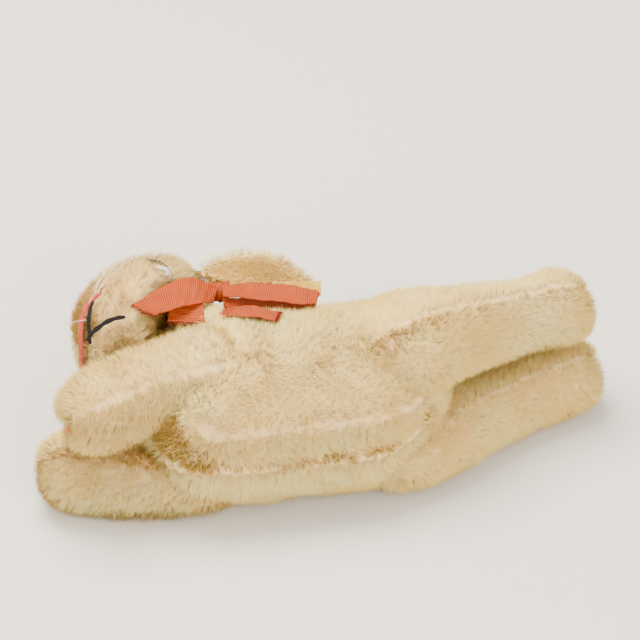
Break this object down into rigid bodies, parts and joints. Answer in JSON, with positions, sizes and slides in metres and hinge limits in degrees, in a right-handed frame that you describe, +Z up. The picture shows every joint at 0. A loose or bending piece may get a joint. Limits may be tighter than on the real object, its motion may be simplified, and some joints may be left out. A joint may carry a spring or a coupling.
{
  "type": "stuffed bunny rabbit",
  "caption": "Mohair plush rabbit lying on its side, with swinging arms and legs, nodding head, hinged ears, neck ribbon, stitched face and a plain swivelling ear tag.",
  "frame": {"origin": "below the middle of the whole toy, on the surface that it lies on", "axes": "+X from the head to the feet, +Y towards the rabbit's back, +Z up, which is the rabbit's left side"},
  "size_m": [0.1845, 0.0876, 0.0563],
  "materials": {
    "mohair": "long cream mohair pile on a woven backing",
    "stuffing": "loose white polyester fibre",
    "ear_lining": "short golden pile",
    "ribbon": "coral grosgrain ribbon, cross ribbed, frayed ends",
    "pink_thread": "coral stranded embroidery thread",
    "black_thread": "black stranded embroidery thread",
    "white_felt": "short white felt",
    "whisker_nylon": "clear nylon thread",
    "tag_cloth": "plain mustard woven tape",
    "rivet_brass": "satin brass rivet"
  },
  "bodies": {
    "torso": {"torso_panel_left": "mohair", "torso_panel_right": "mohair", "belly_panel": "mohair", "torso_stuffing": "stuffing", "neck": "mohair", "ribbon_neck_band": "ribbon", "ribbon_knot": "ribbon", "ribbon_loop_upper": "ribbon", "ribbon_loop_lower": "ribbon", "ribbon_tail_back": "ribbon", "ribbon_tail_cheek": "ribbon", "ribbon_tail_throat": "ribbon"},
    "head": {"head_panel_left": "mohair", "head_panel_right": "mohair", "head_gusset": "mohair", "head_stuffing": "stuffing", "eye_patch_left": "white_felt", "eye_patch_right": "white_felt", "eye_left": "black_thread", "eye_right": "black_thread", "nose_embroidery": "pink_thread", "mouth_embroidery": "black_thread", "whisker_left_1": "whisker_nylon", "whisker_left_2": "whisker_nylon", "whisker_left_3": "whisker_nylon", "whisker_right_1": "whisker_nylon", "whisker_right_2": "whisker_nylon", "whisker_right_3": "whisker_nylon"},
    "ear_left": {"ear_left_back": "mohair", "ear_left_lining": "ear_lining", "tag_rivet": "rivet_brass"},
    "ear_right": {"ear_right_back": "mohair", "ear_right_lining": "ear_lining"},
    "ear_tag": {"ear_tag": "tag_cloth"},
    "tail": {"tail_panel_left": "mohair", "tail_panel_right": "mohair", "tail_stuffing": "stuffing"},
    "arm_left": {"arm_left_back_panel": "mohair", "arm_left_belly_panel": "mohair", "arm_left_stuffing": "stuffing"},
    "arm_right": {"arm_right_back_panel": "mohair", "arm_right_belly_panel": "mohair", "arm_right_stuffing": "stuffing"},
    "leg_left": {"leg_left_back_panel": "mohair", "leg_left_belly_panel": "mohair", "leg_left_stuffing": "stuffing"},
    "leg_right": {"leg_right_back_panel": "mohair", "leg_right_belly_panel": "mohair", "leg_right_stuffing": "stuffing"}
  },
  "joints": [
    {"name": "neck_nod", "type": "hinge", "parent": "torso", "child": "head", "pos_m": [-0.03505, 0.01252, 0.025], "axis": [0, 0, 1], "range_deg": [-3, 15]},
    {"name": "ear_left_swing", "type": "hinge", "parent": "head", "child": "ear_left", "pos_m": [-0.03105, 0.02902, 0.0436], "axis": [0, 0, 1], "range_deg": [0, 75]},
    {"name": "ear_right_swing", "type": "hinge", "parent": "head", "child": "ear_right", "pos_m": [-0.03105, 0.02902, 0.0064], "axis": [0, 0, 1], "range_deg": [0, 75]},
    {"name": "tag_swivel", "type": "hinge", "parent": "ear_left", "child": "ear_tag", "pos_m": [-0.00655, 0.02382, 0.04098], "axis": [0, -0.769, 0.6392], "range_deg": [-25, 40]},
    {"name": "arm_left_swing", "type": "hinge", "parent": "torso", "child": "arm_left", "pos_m": [-0.02805, -0.01847, 0.043], "axis": [0, 0, 1], "range_deg": [-8, 45]},
    {"name": "arm_right_swing", "type": "hinge", "parent": "torso", "child": "arm_right", "pos_m": [-0.03005, -0.02647, 0.0104], "axis": [0, 0, 1], "range_deg": [-8, 45]},
    {"name": "leg_left_swing", "type": "hinge", "parent": "torso", "child": "leg_left", "pos_m": [0.03295, -0.00647, 0.044], "axis": [0, 0, -1], "range_deg": [-8, 45]},
    {"name": "leg_right_swing", "type": "hinge", "parent": "torso", "child": "leg_right", "pos_m": [0.03095, -0.01247, 0.0104], "axis": [0, 0, -1], "range_deg": [-8, 45]},
    {"name": "tail_wag", "type": "hinge", "parent": "torso", "child": "tail", "pos_m": [0.03645, 0.01903, 0.026], "axis": [0, 0, 1], "range_deg": [-15, 15]}
  ]
}
